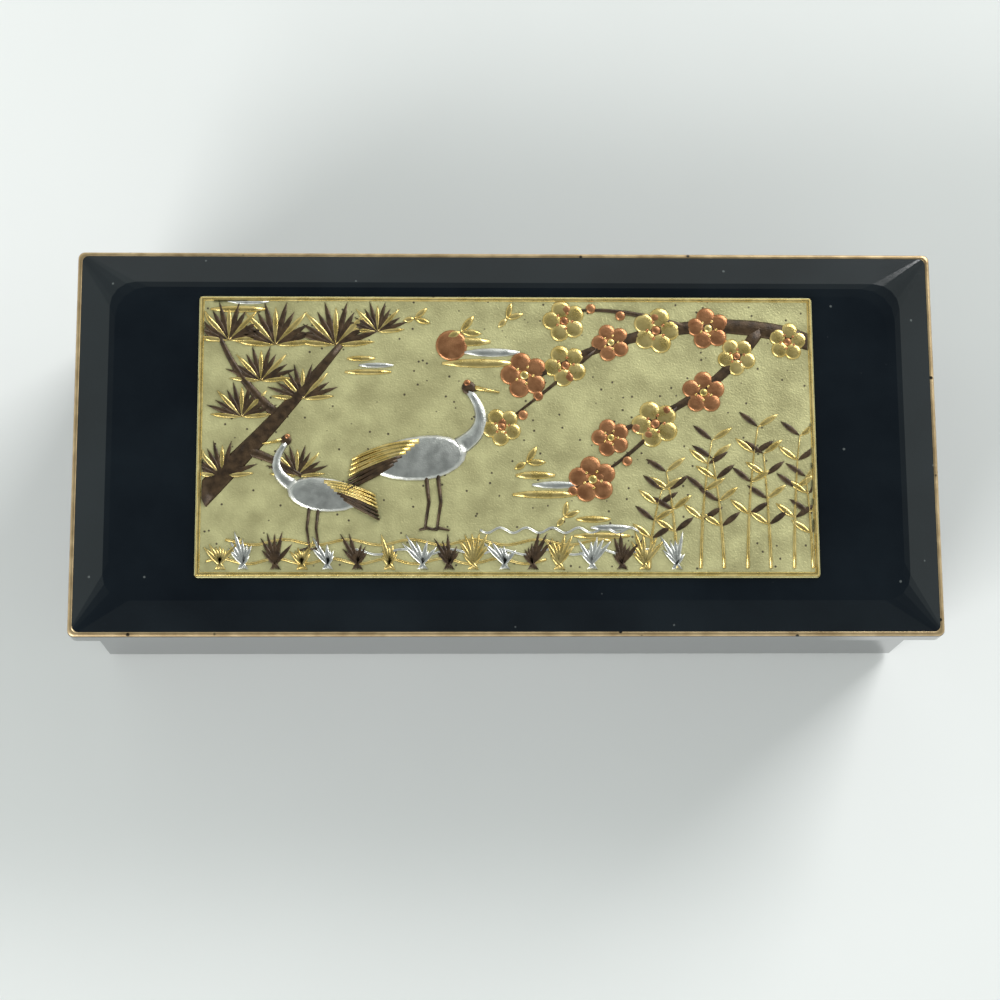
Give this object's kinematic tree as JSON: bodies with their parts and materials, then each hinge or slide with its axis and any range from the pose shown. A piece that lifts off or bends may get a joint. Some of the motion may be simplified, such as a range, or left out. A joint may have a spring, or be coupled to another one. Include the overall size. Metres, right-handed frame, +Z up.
{
  "type": "music box",
  "caption": "Black lacquered jewellery music box with a bevelled lid set with a decorated metal plate, a velvet-lined tray and a key-wound comb movement.",
  "frame": {"origin": "on the surface that the box stands on, under the middle of the lid", "axes": "+X to the right along the length, +Y to the back where the hinges are, +Z up"},
  "size_m": [0.1866, 0.085, 0.0506],
  "materials": {
    "lacquer": "black polished lacquer on wood",
    "engraved_metal": "satin stippled pale gold with darkened relief",
    "brass": "satin",
    "steel": "bright turned",
    "cast_metal": "cast, matt",
    "silvered_glass": "silvered glass",
    "velvet": "dark red velvet over card",
    "board": "dark stained board",
    "felt": "pressed felt",
    "clear": "clear acrylic sheet",
    "nylon": "moulded nylon"
  },
  "bodies": {
    "case": {"front_wall": "lacquer", "back_wall": "lacquer", "left_wall": "lacquer", "right_wall": "lacquer", "bottom_board": "board", "foot_pad_front_left": "felt", "foot_pad_front_right": "felt", "foot_pad_back_left": "felt", "foot_pad_back_right": "felt", "partition": "velvet", "tray_liner": "velvet", "tray_divider": "velvet", "ring_cushion": "velvet", "bay_liner": "velvet", "clear_cover": "clear", "case_hinge_leaf_left": "brass", "case_hinge_screw_left_a": "brass", "case_hinge_screw_left_b": "brass", "case_hinge_leaf_right": "brass", "case_hinge_screw_right_a": "brass", "case_hinge_screw_right_b": "brass", "bedplate": "cast_metal", "bed_screw_a": "steel", "bed_screw_b": "steel", "bed_screw_c": "steel", "comb": "steel", "comb_screw_a": "steel", "comb_screw_b": "steel", "governor_screw": "steel", "bridge_screw_a": "steel", "bridge_screw_b": "steel", "governor_frame": "brass", "bridge": "brass"},
    "lid": {"lid_board": "lacquer", "engraved_plate": "engraved_metal", "lid_lining": "velvet", "mirror": "silvered_glass", "lid_hinge_leaf_left": "brass", "lid_hinge_screw_left_a": "brass", "lid_hinge_screw_left_b": "brass", "lid_hinge_leaf_right": "brass", "lid_hinge_screw_right_a": "brass", "lid_hinge_screw_right_b": "brass"},
    "winder": {"winding_key": "brass", "winding_arbor": "steel", "ratchet_wheel": "steel"},
    "click": {"click": "steel"},
    "cylinder": {"pinned_cylinder": "brass", "cylinder_arbor": "steel", "cylinder_gear": "brass"},
    "barrel": {"spring_barrel": "brass", "crown_cover": "brass", "mainspring": "steel"},
    "first": {"first_arbor": "steel", "first_wheel": "brass"},
    "second": {"second_arbor": "steel", "worm_wheel": "nylon"},
    "governor": {"worm": "steel", "fan": "brass"},
    "stop": {"stop_rod": "steel"}
  },
  "joints": [
    {"name": "lid", "type": "hinge", "parent": "case", "child": "lid", "pos_m": [0, 0.0395, 0.042], "axis": [-1, 0, 0], "range_deg": [0, 98]},
    {"name": "winding_key", "type": "hinge", "parent": "case", "child": "winder", "pos_m": [0.0674, 0.016, 0.015], "axis": [0, 0, 1], "continuous": true},
    {"name": "click", "type": "hinge", "parent": "case", "child": "click", "pos_m": [0.06131, 0.02149, 0.0177], "axis": [0, 0, 1], "range_deg": [0, 12], "stiffness_Nm_per_rad": 0.00002, "springref_deg": -5.73},
    {"name": "cylinder", "type": "hinge", "parent": "case", "child": "cylinder", "pos_m": [0.0674, -0.005, 0.0295], "axis": [0, 1, 0], "continuous": true},
    {"name": "barrel", "type": "hinge", "parent": "case", "child": "barrel", "pos_m": [0.0674, 0.016, 0.023], "axis": [0, 0, 1], "continuous": true},
    {"name": "first_arbor", "type": "hinge", "parent": "case", "child": "first", "pos_m": [0.06114, -0.016, 0.02324], "axis": [0, 1, 0], "continuous": true},
    {"name": "second_arbor", "type": "hinge", "parent": "case", "child": "second", "pos_m": [0.05467, -0.016, 0.02498], "axis": [0, 1, 0], "continuous": true},
    {"name": "governor", "type": "hinge", "parent": "case", "child": "governor", "pos_m": [0.04817, -0.0187, 0.02498], "axis": [0, 0, 1], "continuous": true},
    {"name": "stop_rod", "type": "slide", "parent": "case", "child": "stop", "axis": [0, 0, 1], "range_m": [0, 0.0008]}
  ],
  "couplings": [
    {"joint": "barrel", "follows": "cylinder", "ratio": -0.25},
    {"joint": "first_arbor", "follows": "cylinder", "ratio": -5.25},
    {"joint": "second_arbor", "follows": "cylinder", "ratio": 23.625},
    {"joint": "governor", "follows": "cylinder", "ratio": -567},
    {"joint": "stop_rod", "follows": "lid", "m_per_rad": 0.000465}
  ]
}
